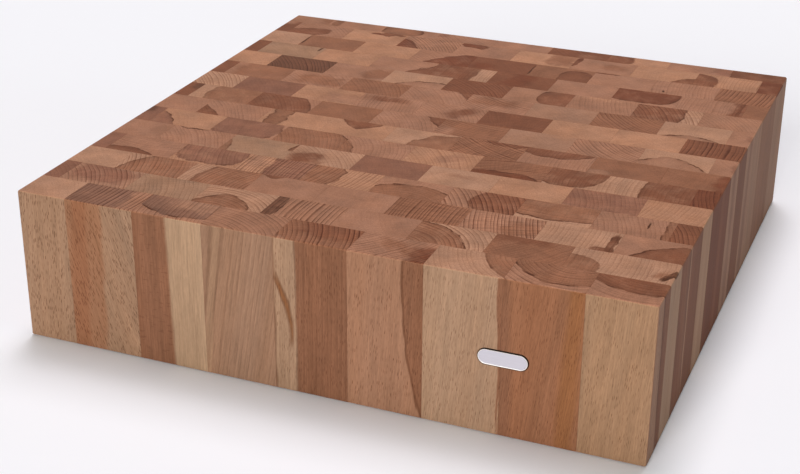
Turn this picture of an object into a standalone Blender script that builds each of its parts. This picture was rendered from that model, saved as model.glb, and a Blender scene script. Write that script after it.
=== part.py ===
# A butcher block of upright beech staves, end grain up, glued side by side in rows that
# break joint like brickwork and trimmed square, with a blank metal badge let into the front.
# Units are metres. +Z is up, the front faces -Y, and the origin is the middle of the underside.

import math

import bmesh
import bpy
from mathutils import Matrix, Vector

# One whole stave as it stands, and how many make up the block
STAVE_WIDTH = 0.0466
STAVE_DEPTH = 0.0273
BLOCK_HEIGHT = 0.100
ROW_COUNT = 15
WHOLE_STAVES_IN_ODD_ROW = 7

# What the saw leaves of the outer staves. The front row and every second row behind it are
# odd rows. The last stave of an even row is as wide as the trimmed block leaves room for.
ODD_ROW_LEFT_WIDTH = 0.0338
ODD_ROW_RIGHT_WIDTH = 0.0400
EVEN_ROW_LEFT_WIDTH = 0.0123
BACK_ROW_DEPTH = 0.0178
EDGE_RADIUS = 0.0015

# The trimmed block, 400 mm square
BLOCK_WIDTH = ODD_ROW_LEFT_WIDTH + WHOLE_STAVES_IN_ODD_ROW * STAVE_WIDTH + ODD_ROW_RIGHT_WIDTH
BLOCK_DEPTH = (ROW_COUNT - 1) * STAVE_DEPTH + BACK_ROW_DEPTH

# The glue line is open between separate staves. Where a row's inner staves are one solid,
# each of their joints is a scored line of the same width.
GLUE_LINE = 0.0003
SCORE_DEPTH = 0.0004

# The badge, a round-ended plate half way up the front, in a pocket routed across two staves
BADGE_LENGTH = 0.0305
BADGE_HEIGHT = 0.0105
BADGE_THICKNESS = 0.0012
BADGE_EDGE_BEVEL = 0.0002
BADGE_PROUD = 0.0005
BADGE_CLEARANCE = 0.0003
BADGE_FROM_RIGHT_END = 0.085

# Faces of rounded shapes, and how far a cutter or an untrimmed stave runs past the block
EDGE_SEGMENTS = 4
ROUND_END_STEPS = 16
BADGE_BEVEL_SEGMENTS = 2
SAW_ALLOWANCE = 0.004

# Beech as it varies from stave to stave: sapwood, heartwood, steamed and red-hearted wood
BEECH_COLOURS = {
    "cream": "C8A583",
    "tan": "B78E6E",
    "pink": "B98B74",
    "brown": "9A6A4E",
    "red": "8C553F",
    "grey": "96766A",
}
BEECH_ROUGHNESS = 0.55
BADGE_COLOUR = "D4D4D8"
BADGE_ROUGHNESS = 0.32

# Colour of each stave: from left to right in the front and back rows, and from front to
# back for the left end, the middle and the right end of the rows between those
FRONT_ROW = ["tan", "brown", "cream", "tan", "brown", "pink", "cream", "brown", "cream"]
BACK_ROW = ["tan", "pink", "red", "pink", "pink", "brown", "pink", "cream", "brown"]
LEFT_ENDS = ["grey", "cream", "red", "pink", "brown", "pink", "red", "cream", "brown", "pink",
             "brown", "cream", "pink"]
MIDDLES = ["tan", "tan", "brown", "tan", "pink", "tan", "brown", "tan", "brown", "pink",
           "brown", "pink", "tan"]
RIGHT_ENDS = ["cream", "tan", "brown", "cream", "red", "brown", "pink", "red", "pink", "tan",
              "pink", "brown", "red"]


def linear_colour(hex_colour):
    channels = [int(hex_colour[i:i + 2], 16) / 255 for i in (0, 2, 4)]
    linear = [c / 12.92 if c <= 0.04045 else ((c + 0.055) / 1.055) ** 2.4 for c in channels]
    return (*linear, 1.0)


def make_material(name, hex_colour, roughness, metallic):
    material = bpy.data.materials.new(name)
    material.use_nodes = True
    shader = material.node_tree.nodes["Principled BSDF"]
    shader.inputs["Base Color"].default_value = linear_colour(hex_colour)
    shader.inputs["Roughness"].default_value = roughness
    shader.inputs["Metallic"].default_value = metallic
    material.diffuse_color = linear_colour(hex_colour)
    return material


def make_collection(name):
    collection = bpy.data.collections.new(name)
    bpy.context.scene.collection.children.link(collection)
    return collection


def add_object(name, mesh, collection, location=(0, 0, 0), parent=None):
    item = bpy.data.objects.new(name, mesh)
    collection.objects.link(item)
    item.location = location
    item.parent = parent
    return item


def hide_as_cutter(item):
    item.display_type = "WIRE"
    item.hide_render = True


def box_matrix(low, high):
    # Turns the unit cube into the box between two corners.
    low, high = Vector(low), Vector(high)
    return Matrix.LocRotScale((low + high) / 2, None, high - low)


def box_mesh(name, size):
    shape = bmesh.new()
    bmesh.ops.create_cube(shape, size=1, matrix=Matrix.LocRotScale(None, None, size))
    mesh = bpy.data.meshes.new(name)
    shape.to_mesh(mesh)
    shape.free()
    return mesh


def trimmed_block_cutter(collection):
    # The whole block after trimming, with every outside edge eased.
    mesh = box_mesh("trimmed_block", Vector((BLOCK_WIDTH, BLOCK_DEPTH, BLOCK_HEIGHT)))
    cutter = add_object("trimmed_block", mesh, collection, (0, 0, BLOCK_HEIGHT / 2))
    bevel = cutter.modifiers.new("eased_edges", "BEVEL")
    bevel.width = EDGE_RADIUS
    bevel.segments = EDGE_SEGMENTS
    hide_as_cutter(cutter)
    return cutter


def scoring_cutter(name, joints, collection):
    # A thin blade along every inner joint of a kind of row, on the top and on the underside.
    shape = bmesh.new()
    for place in joints[1:-1]:
        for inner, outer in ((SCORE_DEPTH, -SAW_ALLOWANCE),
                             (BLOCK_HEIGHT - SCORE_DEPTH, BLOCK_HEIGHT + SAW_ALLOWANCE)):
            low = (place - GLUE_LINE / 2, -BLOCK_DEPTH / 2 - SAW_ALLOWANCE, min(inner, outer))
            high = (place + GLUE_LINE / 2, BLOCK_DEPTH / 2 + SAW_ALLOWANCE, max(inner, outer))
            bmesh.ops.create_cube(shape, size=1, matrix=box_matrix(low, high))
    mesh = bpy.data.meshes.new(name)
    shape.to_mesh(mesh)
    shape.free()
    cutter = add_object(name, mesh, collection)
    hide_as_cutter(cutter)
    return cutter


def round_ended_mesh(name, length, height, thickness):
    # A plate with half-round ends, lying in local XY and centred on its thickness.
    radius = height / 2
    points = []
    for side in (1, -1):
        for step in range(ROUND_END_STEPS + 1):
            angle = math.pi * step / ROUND_END_STEPS - math.pi / 2
            points.append((side * (length / 2 - radius + radius * math.cos(angle)),
                           side * radius * math.sin(angle)))
    outline = bpy.data.curves.new(name + "_outline", "CURVE")
    outline.dimensions = "2D"
    outline.fill_mode = "BOTH"
    outline.extrude = thickness / 2
    spline = outline.splines.new("POLY")
    spline.points.add(len(points) - 1)
    for point, (x, y) in zip(spline.points, points):
        point.co = (x, y, 0, 1)
    spline.use_cyclic_u = True
    guide = bpy.data.objects.new(name + "_outline", outline)
    bpy.context.scene.collection.objects.link(guide)
    bpy.context.view_layer.update()
    evaluated = guide.evaluated_get(bpy.context.evaluated_depsgraph_get())
    mesh = bpy.data.meshes.new_from_object(evaluated)
    mesh.name = name
    bpy.data.objects.remove(guide)
    bpy.data.curves.remove(outline)
    shape = bmesh.new()
    shape.from_mesh(mesh)
    bmesh.ops.remove_doubles(shape, verts=shape.verts[:], dist=1e-6)
    bmesh.ops.dissolve_limit(shape, angle_limit=math.radians(1), verts=shape.verts[:],
                             edges=shape.edges[:], delimit={"NORMAL"})
    shape.to_mesh(mesh)
    shape.free()
    return mesh


def stand_against_front(item, outermost, thickness):
    # Turns a plate that lies in XY to face the front, its face at a given distance before it.
    item.location = (BLOCK_WIDTH / 2 - BADGE_FROM_RIGHT_END,
                     -BLOCK_DEPTH / 2 - outermost + thickness / 2, BLOCK_HEIGHT / 2)
    item.rotation_euler = (math.pi / 2, 0, 0)


def badge_pocket_cutter(collection):
    depth = BADGE_THICKNESS - BADGE_PROUD + GLUE_LINE
    thickness = depth + SAW_ALLOWANCE
    mesh = round_ended_mesh("badge_pocket", BADGE_LENGTH + 2 * BADGE_CLEARANCE,
                            BADGE_HEIGHT + 2 * BADGE_CLEARANCE, thickness)
    cutter = add_object("badge_pocket", mesh, collection)
    stand_against_front(cutter, SAW_ALLOWANCE, thickness)
    hide_as_cutter(cutter)
    return cutter


def add_badge(collection, parent):
    mesh = round_ended_mesh("badge_plate", BADGE_LENGTH, BADGE_HEIGHT, BADGE_THICKNESS)
    mesh.materials.clear()
    mesh.materials.append(make_material("badge_aluminium", BADGE_COLOUR, BADGE_ROUGHNESS, 1.0))
    badge = add_object("badge_plate", mesh, collection, parent=parent)
    stand_against_front(badge, BADGE_PROUD, BADGE_THICKNESS)
    bevel = badge.modifiers.new("eased_rim", "BEVEL")
    bevel.width = BADGE_EDGE_BEVEL
    bevel.segments = BADGE_BEVEL_SEGMENTS
    bevel.limit_method = "ANGLE"
    bevel.harden_normals = True
    mesh.shade_smooth()


def joint_places(row):
    # Centres of a row's glue lines from left to right.
    first_width, joints = ODD_ROW_LEFT_WIDTH, WHOLE_STAVES_IN_ODD_ROW + 1
    if row % 2:
        first_width, joints = EVEN_ROW_LEFT_WIDTH, joints + 1
    return [-BLOCK_WIDTH / 2 + first_width + i * STAVE_WIDTH for i in range(joints)]


def pieces_between(low, high, joints):
    # Low and high face of each piece. The outer faces run past the block until it is trimmed.
    edges = [low - SAW_ALLOWANCE, *joints, high + SAW_ALLOWANCE]
    return [(a + GLUE_LINE / 2, b - GLUE_LINE / 2) for a, b in zip(edges, edges[1:])]


def cut(item, cutter, operation):
    boolean = item.modifiers.new(cutter.name, "BOOLEAN")
    boolean.operation = operation
    boolean.solver = "EXACT"
    boolean.object = cutter


def add_stave(name, colour, across, along, cutters, collection, parent):
    # One stave, or a row's inner staves as one solid, trimmed with the rest of the block.
    low = Vector((across[0], along[0], -SAW_ALLOWANCE))
    high = Vector((across[1], along[1], BLOCK_HEIGHT + SAW_ALLOWANCE))
    mesh = box_mesh(name, high - low)
    mesh.materials.append(make_material(name + "_beech", BEECH_COLOURS[colour],
                                        BEECH_ROUGHNESS, 0.0))
    stave = add_object(name, mesh, collection, (low + high) / 2, parent)
    for cutter, operation in cutters:
        cut(stave, cutter, operation)


def add_outer_row(side, along, cutters, collection, parent):
    # The front or the back row, whose every stave is a solid of its own.
    row, colours = (0, FRONT_ROW) if side == "front" else (ROW_COUNT - 1, BACK_ROW)
    pieces = pieces_between(-BLOCK_WIDTH / 2, BLOCK_WIDTH / 2, joint_places(row))
    for i, across in enumerate(pieces):
        add_stave(f"{side}_stave_{i + 1}", colours[i % len(colours)], across, along, cutters,
                  collection, parent)


def add_inner_row(row, along, cutters, scoring, collection, parent):
    # A stave at each end, which show on the sides, and those between them as one solid.
    joints = joint_places(row)
    left, middle, right = pieces_between(-BLOCK_WIDTH / 2, BLOCK_WIDTH / 2,
                                         [joints[0], joints[-1]])
    for part, colours, across, own_cutters in (
            ("left_stave", LEFT_ENDS, left, cutters),
            ("middle_staves", MIDDLES, middle, [*cutters, (scoring, "DIFFERENCE")]),
            ("right_stave", RIGHT_ENDS, right, cutters)):
        colour = colours[(row - 1) % len(colours)]
        add_stave(f"row_{row + 1:02d}_{part}", colour, across, along, own_cutters,
                  collection, parent)


def add_block(parts, cutters, parent):
    trim = (trimmed_block_cutter(cutters), "INTERSECT")
    pocket = (badge_pocket_cutter(cutters), "DIFFERENCE")
    scoring = [scoring_cutter(name, joint_places(row), cutters)
               for row, name in enumerate(("odd_row_joints", "even_row_joints"))]
    row_joints = [-BLOCK_DEPTH / 2 + i * STAVE_DEPTH for i in range(1, ROW_COUNT)]
    rows = pieces_between(-BLOCK_DEPTH / 2, BLOCK_DEPTH / 2, row_joints)
    add_outer_row("front", rows[0], [trim, pocket], parts, parent)
    for row in range(1, ROW_COUNT - 1):
        add_inner_row(row, rows[row], [trim], scoring[row % 2], parts, parent)
    add_outer_row("back", rows[-1], [trim], parts, parent)


def main():
    for item in list(bpy.data.objects):
        bpy.data.objects.remove(item)
    parts = make_collection("butcher_block")
    cutters = make_collection("cutters")
    origin = add_object("block_origin", None, parts)
    add_block(parts, cutters, origin)
    add_badge(parts, origin)


main()
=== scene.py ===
import math
from functools import partial

import bmesh
import bpy
import numpy as np
from mathutils import Matrix, Vector


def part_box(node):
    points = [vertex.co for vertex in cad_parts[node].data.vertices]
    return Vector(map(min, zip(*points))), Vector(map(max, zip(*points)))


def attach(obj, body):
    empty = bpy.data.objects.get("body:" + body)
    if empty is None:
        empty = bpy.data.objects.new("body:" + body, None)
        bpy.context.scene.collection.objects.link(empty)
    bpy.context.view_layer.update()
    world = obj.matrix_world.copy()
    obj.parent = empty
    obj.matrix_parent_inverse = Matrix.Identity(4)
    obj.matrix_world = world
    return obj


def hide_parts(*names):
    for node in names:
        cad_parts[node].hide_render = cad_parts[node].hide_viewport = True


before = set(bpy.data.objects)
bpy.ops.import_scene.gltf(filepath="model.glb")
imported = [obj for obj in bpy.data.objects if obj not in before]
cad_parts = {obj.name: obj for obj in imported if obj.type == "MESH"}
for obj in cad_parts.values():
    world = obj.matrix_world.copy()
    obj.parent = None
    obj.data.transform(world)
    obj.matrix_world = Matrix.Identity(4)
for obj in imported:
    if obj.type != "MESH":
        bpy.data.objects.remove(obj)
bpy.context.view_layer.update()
print("frame loaded:", len(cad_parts), "nodes")

scene = bpy.context.scene
mm = 0.001


def toLinear(hexText):
    # sRGB hex to the linear values that the shaders work in
    channels = [int(hexText[i:i + 2], 16) / 255 for i in (0, 2, 4)]
    return tuple(c / 12.92 if c <= 0.04045 else ((c + 0.055) / 1.055) ** 2.4 for c in channels)


def addNode(tree, kind, inputs=(), operation=None, **settings):
    # adds a node, gives it its settings, and links or fills its inputs, which come in order or by name
    node = tree.nodes.new(kind if kind.startswith(("GeometryNode", "NodeGroup")) else "ShaderNode" + kind)
    if operation:
        node.operation = operation
    for name, value in settings.items():
        setattr(node, name, value)
    for name, value in inputs.items() if isinstance(inputs, dict) else enumerate(inputs):
        if isinstance(value, bpy.types.Node):
            value = next(output for output in value.outputs if output.enabled)
        if isinstance(value, bpy.types.NodeSocket):
            tree.links.new(value, node.inputs[name])
        else:
            node.inputs[name].default_value = value
    return node


def newMaterial(name):
    # an empty material, and what adds nodes to it
    material = bpy.data.materials.new(name)
    material.use_nodes = True
    material.node_tree.nodes.clear()
    return material, partial(addNode, material.node_tree)


def newObject(name, data):
    made = bpy.data.objects.new(name, data)
    scene.collection.objects.link(made)
    return made


# What each stave looks like. Rows run from the front, staves from the left, and places are in
# millimetres from the middle of the stave: x to the right, y to the back.
# A stave is (tone, grain, pith x, pith y, patch, patch), and a patch of darker heartwood is
# (tone, x, y, half width, half depth, edge, turn in degrees).
staveTones = {
    "cream": "A87C63",
    "sand": "A9795E",
    "khaki": "9C715A",
    "moss": "9A735B",
    "tan": "986B54",
    "rose": "9C6E57",
    "clay": "8A5C45",
    "brown": "7A4C37",
    "mauve": "865A47",
    "russet": "71412D",
    "dusk": "664231",
    "plum": "7D5847",
    "umber": "4E2C1B",
    "straw": "AF8D71",
    "oat": "AC876C",
    "fawn": "A37E64",
    "peach": "A3765C",
    "dove": "9D775F",
    "honey": "9D6F53",
    "chestnut": "8B5E46",
    "amber": "98664A",
    "ginger": "92603F",
    "wheat": "A47E61",
}

# ring spacing in mm, how dark the rings are, how far they wander in mm, how strong the rays are
grainKinds = {
    "plain": (3.2, 0.10, 1.5, 0.40),
    "faint": (2.7, 0.36, 1.2, 0.55),
    "clear": (2.7, 0.70, 0.9, 0.60),
    "bold": (3.0, 1.10, 0.5, 0.7),
    "woven": (2.35, 1.10, 0.3, 1.7),
}

# how soft a patch's edge is in mm, how dark its outline is, how far it wanders in mm
edgeKinds = {
    "soft": (6.0, 0.0, 3.0),
    "plain": (1.3, 0.25, 1.3),
    "lined": (0.9, 0.80, 0.9),
    "ragged": (0.9, 0.70, 2.3),
    "drawn": (0.9, 1.3, 1.5),
    "spot": (0.6, 0.0, 0.6),
}

# how the grain shows on the outer faces: flecks, ladder marks, vein lines
sideKinds = {
    "flecked": (1.8, 0.0, 0.10),
    "finely": (0.72, 0.0, 0.10),
    "speckled": (0.95, 0.0, 0.10),
    "ladder": (0.15, 0.28, 0.20),
    "veined": (0.25, 0.0, 0.40),
    "streaked": (0.75, 0.0, 0.24),
    "smooth": (0.30, 0.0, 0.10),
}

staveRows = {1: [
    ("cream", "plain", -80, -60),
    ("tan", "bold", -160, 15, ("plum", -9, 3, 25, 30, "soft")),
    ("tan", "clear", 160, 10, ("plum", 5, 34, 45, 45, "drawn"), ("khaki", 10, 8, 26, 10, "soft")),
    ("tan", "clear", -25, -48),
    ("clay", "bold", -75, -25, ("brown", 6, 8, 24, 15, "soft"), ("tan", -21, -14, 6, 5, "plain")),
    ("rose", "clear", -70, 50, ("russet", 20, -5, 11, 16, "soft"), ("clay", 2, 2, 22, 7, "soft", 30)),
    ("cream", "faint", 46, 26, ("clay", 46, 26, 45, 45, "lined")),
    ("rose", "clear", 8, 26, ("clay", 8, 26, 36, 36, "drawn")),
    ("rose", "faint", 8, 42, ("brown", 6, 37, 41, 41, "lined")),
], 2: [
    ("mauve", "faint", -60, -60),
    ("khaki", "clear", -70, -45, ("mauve", -1, 2, 25, 15, "soft")),
    ("moss", "faint", -90, -40),
    ("cream", "clear", -10, -36, ("clay", -5, -16, 18.1, 18, "lined", 40)),
    ("tan", "bold", 160, 0, ("dusk", -55, 0, 41, 41, "lined")),
    ("rose", "plain", 100, 60),
    ("cream", "clear", -28, -28, ("clay", -27, -28, 43, 43, "drawn")),
    ("clay", "faint", -80, 60, ("brown", -6, 12, 26, 9, "soft")),
    ("cream", "faint", -120, 0, ("clay", -20, -13, 17, 18, "plain")),
    ("cream", "faint", -120, 0, ("umber", 4.5, -3.5, 2.7, 9, "spot", 27), ("clay", 0, -3, 6, 9, "soft", 20)),
], 3: [
    ("cream", "plain", 60, -60),
    ("cream", "clear", -90, -30, ("clay", 27, -22, 50, 50, "lined")),
    ("cream", "clear", 60, -15, ("clay", 38, -12, 54, 54, "lined")),
    ("rose", "plain", 60, 60, ("brown", -15, 20, 11, 11, "plain")),
    ("rose", "plain", 0, 100, ("tan", 0, 2, 26, 5, "soft")),
    ("clay", "woven", 200, 0),
    ("rose", "woven", 200, 60, ("clay", 12, -4, 15, 12, "soft")),
    ("cream", "faint", -150, 0, ("brown", 20, -2, 3.0, 14, "lined"), ("brown", 16, -12, 7.5, 3.4, "lined")),
    ("rose", "plain", 30, -35, ("brown", 30, -35, 46, 46, "drawn")),
], 4: [
    ("mauve", "plain", -60, 10),
    ("rose", "faint", 0, 90, ("brown", -10, -40, 35, 35, "lined")),
    ("sand", "faint", 90, 30, ("mauve", 0, 6, 25, 18, "ragged")),
    ("sand", "woven", 200, 0, ("mauve", 11, 0, 16, 40, "plain"), ("khaki", -14, 4, 9, 12, "soft")),
    ("sand", "clear", -120, 20, ("clay", -42, 2, 41, 41, "ragged")),
    ("rose", "faint", 0, -34, ("clay", 2, -34, 41, 41, "drawn")),
    ("tan", "bold", -110, -60, ("brown", 22, 12, 36, 20, "plain", -50)),
    ("cream", "faint", 0, 150, ("clay", 0, 60, 72, 72, "drawn")),
    ("rose", "faint", -120, -40, ("umber", 8, 3, 0.9, 6.5, "spot"), ("clay", 40, 0, 22, 60, "lined")),
    ("brown", "clear", -100, -40),
], 5: [
    ("rose", "plain", -90, -60),
    ("rose", "faint", -90, -60, ("umber", -9, 12, 12, 1.4, "ragged"), ("cream", 12, -13, 12, 6, "soft")),
    ("moss", "plain", -90, -50, ("clay", -70, -20, 54, 54, "lined"), ("brown", 24, 8, 3, 9, "lined", 12)),
    ("cream", "faint", -80, -70, ("brown", -10, -6, 15, 12, "soft")),
    ("mauve", "plain", -90, -50),
    ("cream", "plain", 60, 60, ("tan", 0, 3, 20, 5, "soft")),
    ("sand", "plain", 60, 60),
    ("rose", "faint", -100, -30, ("mauve", 0, 6, 50, 23, "soft")),
    ("sand", "faint", -110, 20),
], 6: [
    ("mauve", "plain", -45, -24, ("dusk", -6, 12, 9, 14, "soft")),
    ("sand", "plain", -45, -24, ("mauve", -45, -27, 43, 43, "drawn")),
    ("rose", "plain", 10, -60, ("mauve", -3, 1, 26, 17, "ragged")),
    ("rose", "faint", -100, -50, ("clay", -3.4, -20, 38.5, 38.5, "drawn")),
    ("rose", "faint", -50, -20, ("clay", -50, -20, 38.5, 38.5, "drawn")),
    ("sand", "faint", -90, -60, ("tan", 6, 3, 16, 8, "soft", -30)),
    ("clay", "clear", 30, -150, ("russet", -3, -18, 25, 12, "lined")),
    ("cream", "faint", 120, 0, ("brown", -10, 10, 25, 25, "lined")),
    ("cream", "faint", 100, 0, ("brown", 60, 0, 70, 70, "lined")),
    ("russet", "clear", 90, 20),
], 7: [
    ("rose", "plain", -90, -50),
    ("rose", "faint", -90, -60, ("brown", -69, -66, 83, 83, "lined")),
    ("sand", "plain", 60, -60, ("clay", -13, 0, 7.5, 22, "ragged")),
    ("sand", "plain", 60, -60, ("brown", -1, 14, 13.1, 13, "lined", 45)),
    ("cream", "plain", 22, -15, ("clay", 23, -16, 29, 29, "ragged")),
    ("clay", "woven", 60, 95, ("brown", 8, 14, 16, 7, "ragged")),
    ("rose", "faint", 120, 0, ("brown", -6, 40, 40, 40, "lined")),
    ("clay", "plain", 60, 40, ("tan", -16, -12, 9, 6, "plain")),
    ("clay", "plain", 10, 50, ("russet", 22, 0, 12, 24, "soft")),
], 8: [
    ("brown", "plain", 30, 30, ("dusk", 4, 8, 7, 8, "soft")),
    ("cream", "plain", 12, 0, ("clay", 13, -1, 27, 20, "plain")),
    ("rose", "faint", -90, -60, ("brown", -10, -14, 34, 34, "lined")),
    ("clay", "plain", -90, -60),
    ("rose", "faint", -90, -60, ("brown", 60, 45, 60, 60, "lined")),
    ("clay", "clear", 20, 90, ("rose", -20, -10, 12, 14, "soft")),
    ("khaki", "plain", 60, 60, ("sand", 12, 12, 12, 7, "soft")),
    ("tan", "clear", 45, 45),
    ("cream", "plain", -6, -38, ("tan", -3, -32, 32.1, 32, "drawn", 42)),
    ("rose", "plain", 30, 30, ("mauve", 8, 0, 6, 8, "soft")),
], 9: [
    ("cream", "clear", -80, -60),
    ("mauve", "plain", -90, -60),
    ("sand", "faint", -60, 60, ("tan", 12, -3, 20, 12, "soft")),
    ("rose", "faint", 160, 20, ("brown", -4, 7, 22, 8, "soft")),
    ("rose", "faint", -60, -50, ("brown", 8, 2, 9, 17, "soft", 35)),
    ("brown", "faint", 10, -60),
    ("sand", "plain", 60, 60),
    ("sand", "plain", 60, 60, ("clay", -18, -8, 3, 8, "soft", -20)),
    ("brown", "bold", -150, 0),
], 10: [
    ("brown", "plain", 30, 30),
    ("tan", "plain", 20, 60, ("clay", 4, 0, 26, 20, "soft")),
    ("rose", "faint", -60, -60, ("clay", 4, -2, 22, 13, "soft")),
    ("clay", "faint", -90, -60),
    ("rose", "faint", -80, -60, ("brown", 66, 50, 66, 66, "plain")),
    ("rose", "clear", 40, 90, ("clay", -4, 3, 22, 10, "soft")),
    ("khaki", "plain", 60, 60),
    ("clay", "clear", 50, 50),
    ("cream", "plain", 0, -40, ("tan", 0, -40, 33, 33, "drawn")),
    ("rose", "plain", 30, 30, ("mauve", 8, 0, 6, 8, "soft")),
], 11: [
    ("sand", "plain", -60, -60),
    ("dusk", "clear", -80, -50),
    ("rose", "plain", -60, 60, ("clay", 14, 0, 14, 14, "soft")),
    ("cream", "plain", 15, -40, ("rose", 15, -40, 39, 39, "drawn")),
    ("brown", "clear", -60, -60),
    ("tan", "plain", 20, 0, ("brown", 20, 0, 21, 21, "lined")),
    ("tan", "faint", 150, 40, ("sand", 0, 13, 30, 6, "soft")),
    ("cream", "clear", -120, -60, ("brown", -50, 0, 63, 63, "lined")),
    ("tan", "faint", -80, -60),
], 12: [
    ("brown", "plain", 30, 30),
    ("moss", "plain", 60, -60, ("umber", 20, 9, 1.4, 5, "spot")),
    ("sand", "plain", -60, -60),
    ("rose", "plain", 38, -20, ("brown", 57, -38, 56, 56, "ragged")),
    ("cream", "faint", 160, 0, ("brown", -50, 4, 62, 62, "plain")),
    ("brown", "plain", 60, -60, ("russet", -2, 0, 12, 20, "soft", 15)),
    ("rose", "plain", 60, 60),
    ("rose", "plain", -4, 10, ("russet", -5, 12, 28, 24, "lined")),
    ("rose", "faint", 200, 0, ("brown", 24, 0, 12, 40, "soft"), ("russet", 20, 0, 1.6, 20, "plain")),
    ("clay", "plain", 30, 30),
], 13: [
    ("cream", "plain", 60, 60),
    ("clay", "plain", 60, 40, ("umber", -22.5, 0, 1.2, 12, "spot")),
    ("sand", "plain", -60, -60),
    ("rose", "faint", -60, -60, ("russet", 42, -40, 60, 60, "plain")),
    ("brown", "plain", 60, -60, ("russet", -14, -6, 12, 10, "soft")),
    ("clay", "plain", 14, -6, ("brown", 12, -12, 13, 22, "lined"), ("umber", -23, 0, 1.2, 14, "spot")),
    ("rose", "plain", 60, 60, ("russet", -16, 13, 13, 3, "plain")),
    ("rose", "faint", 120, 10, ("umber", -14, -9, 1.1, 2.6, "spot")),
    ("clay", "bold", -150, 20),
], 14: [
    ("brown", "plain", 30, 30, ("rose", -4, 10, 9, 8, "soft")),
    ("rose", "faint", -60, -60, ("brown", -16, -10, 28, 10, "plain", -20)),
    ("sand", "plain", -60, 60, ("russet", 8, 10.5, 15, 3.8, "ragged", -7)),
    ("tan", "woven", -90, -70, ("russet", -50, -35, 50.5, 50.5, "lined")),
    ("rose", "plain", 60, 60, ("russet", -13, 10, 14, 5.5, "plain", 10)),
    ("sand", "plain", 60, 60, ("clay", 14, 2, 14, 16, "soft")),
    ("rose", "plain", 60, 60, ("russet", -22, 3, 2.6, 12, "spot", 8), ("clay", 8, 0, 13, 9, "soft")),
    ("sand", "plain", 40, 0, ("brown", 56, -50, 61, 61, "plain")),
    ("sand", "faint", 150, 0, ("brown", -26, -8, 20, 21, "plain")),
    ("tan", "plain", 30, 30, ("russet", 0, 0, 20, 30, "spot")),
], 15: [
    ("tan", "plain", 60, 60, ("clay", 14, 0, 9, 8, "soft")),
    ("rose", "plain", 60, 60, ("clay", -17, 0, 4.5, 9, "plain")),
    ("rose", "plain", -8, 0, ("clay", -7, 0, 18, 10, "lined")),
    ("rose", "faint", 60, 60, ("mauve", -20, 3, 8, 8, "soft")),
    ("rose", "plain", 60, 60),
    ("brown", "faint", 60, 60, ("clay", 10, -4, 12, 8, "soft")),
    ("sand", "plain", 60, 60, ("brown", -24, 0, 22, 12, "plain")),
    ("rose", "plain", 60, 60, ("mauve", 22, 0, 14, 12, "soft")),
    ("tan", "plain", 30, 30, ("brown", 0, 0, 20, 30, "spot")),
]}

# The front faces, from the left: (tone, look, lean of the grain, strip, strip). A strip of darker or paler
# wood runs up the face: (tone, x at half height, slope, bend, half width, taper, softness, from z, to z,
# outline), in millimetres from the middle of the face, with slope, bend and taper per millimetre of height.
frontFaces = [
    ("fawn", "flecked", 0.03),
    ("honey", "flecked", -0.28, ("fawn", 14, 0.02, 0, 15, 0, 4, -99, 99, 0),
     ("amber", -16, 0.05, 0, 8, 0, 5, -99, 99, 0)),
    ("chestnut", "ladder", 0.0, ("straw", 18.5, -0.03, 0, 20, 0, 3.5, -99, 99, 0)),
    ("dove", "veined", 0.17, ("fawn", -19, 0.10, 0.0004, 4.5, 0, 3, -99, 99, 0.15)),
    ("chestnut", "streaked", 0.02, ("oat", -16.2, 0, 0, 8, 0, 1.8, -99, 99, 0.35),
     ("ginger", -13.6, -0.15, -0.0075, 2.3, 0.03, 2.4, -22, 31, 0.30)),
    ("peach", "speckled", 0.08, ("chestnut", 21.2, -0.12, 0.0018, 10, 0, 1.6, -99, 99, 0.45)),
    ("oat", "finely", 0.10, ("chestnut", 22.6, 0, 0, 1.7, 0.02, 1, -99, 99, 0)),
    ("amber", "finely", 0.12, ("chestnut", -21, -0.03, 0, 5.5, 0, 4, -99, 99, 0.1),
     ("ginger", 17, 0.04, 0, 8, 0, 6, -99, 99, 0)),
    ("wheat", "finely", 0.08),
]


# Sizes read off the frame
def centreOf(node):
    nodeLow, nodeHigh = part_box(node)
    return (nodeLow + nodeHigh) / 2


staveWidth = (centreOf("front_stave_3") - centreOf("front_stave_2")).x
rowDepth = (centreOf("row_03_left_stave") - centreOf("row_02_left_stave")).y
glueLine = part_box("front_stave_3")[0].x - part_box("front_stave_2")[1].x
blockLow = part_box("front_stave_1")[0].copy()
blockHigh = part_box("back_stave_9")[1].copy()
blockCentre = (blockLow + blockHigh) / 2
blockHalf = (blockHigh - blockLow) / 2
print("stave", round(staveWidth / mm, 2), "x", round(rowDepth / mm, 2), "mm, block",
      [round(size / mm, 1) for size in blockHigh - blockLow])

staveShape = {
    "edgeRadius": 1.5 * mm,   # the block's outer edges, eased after sanding
    "arris": 0.16 * mm,       # the tiny chamfer that leaves a hairline at each glue joint
    "edgeSteps": 3,           # extra loops on each side of an outer edge
}


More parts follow.
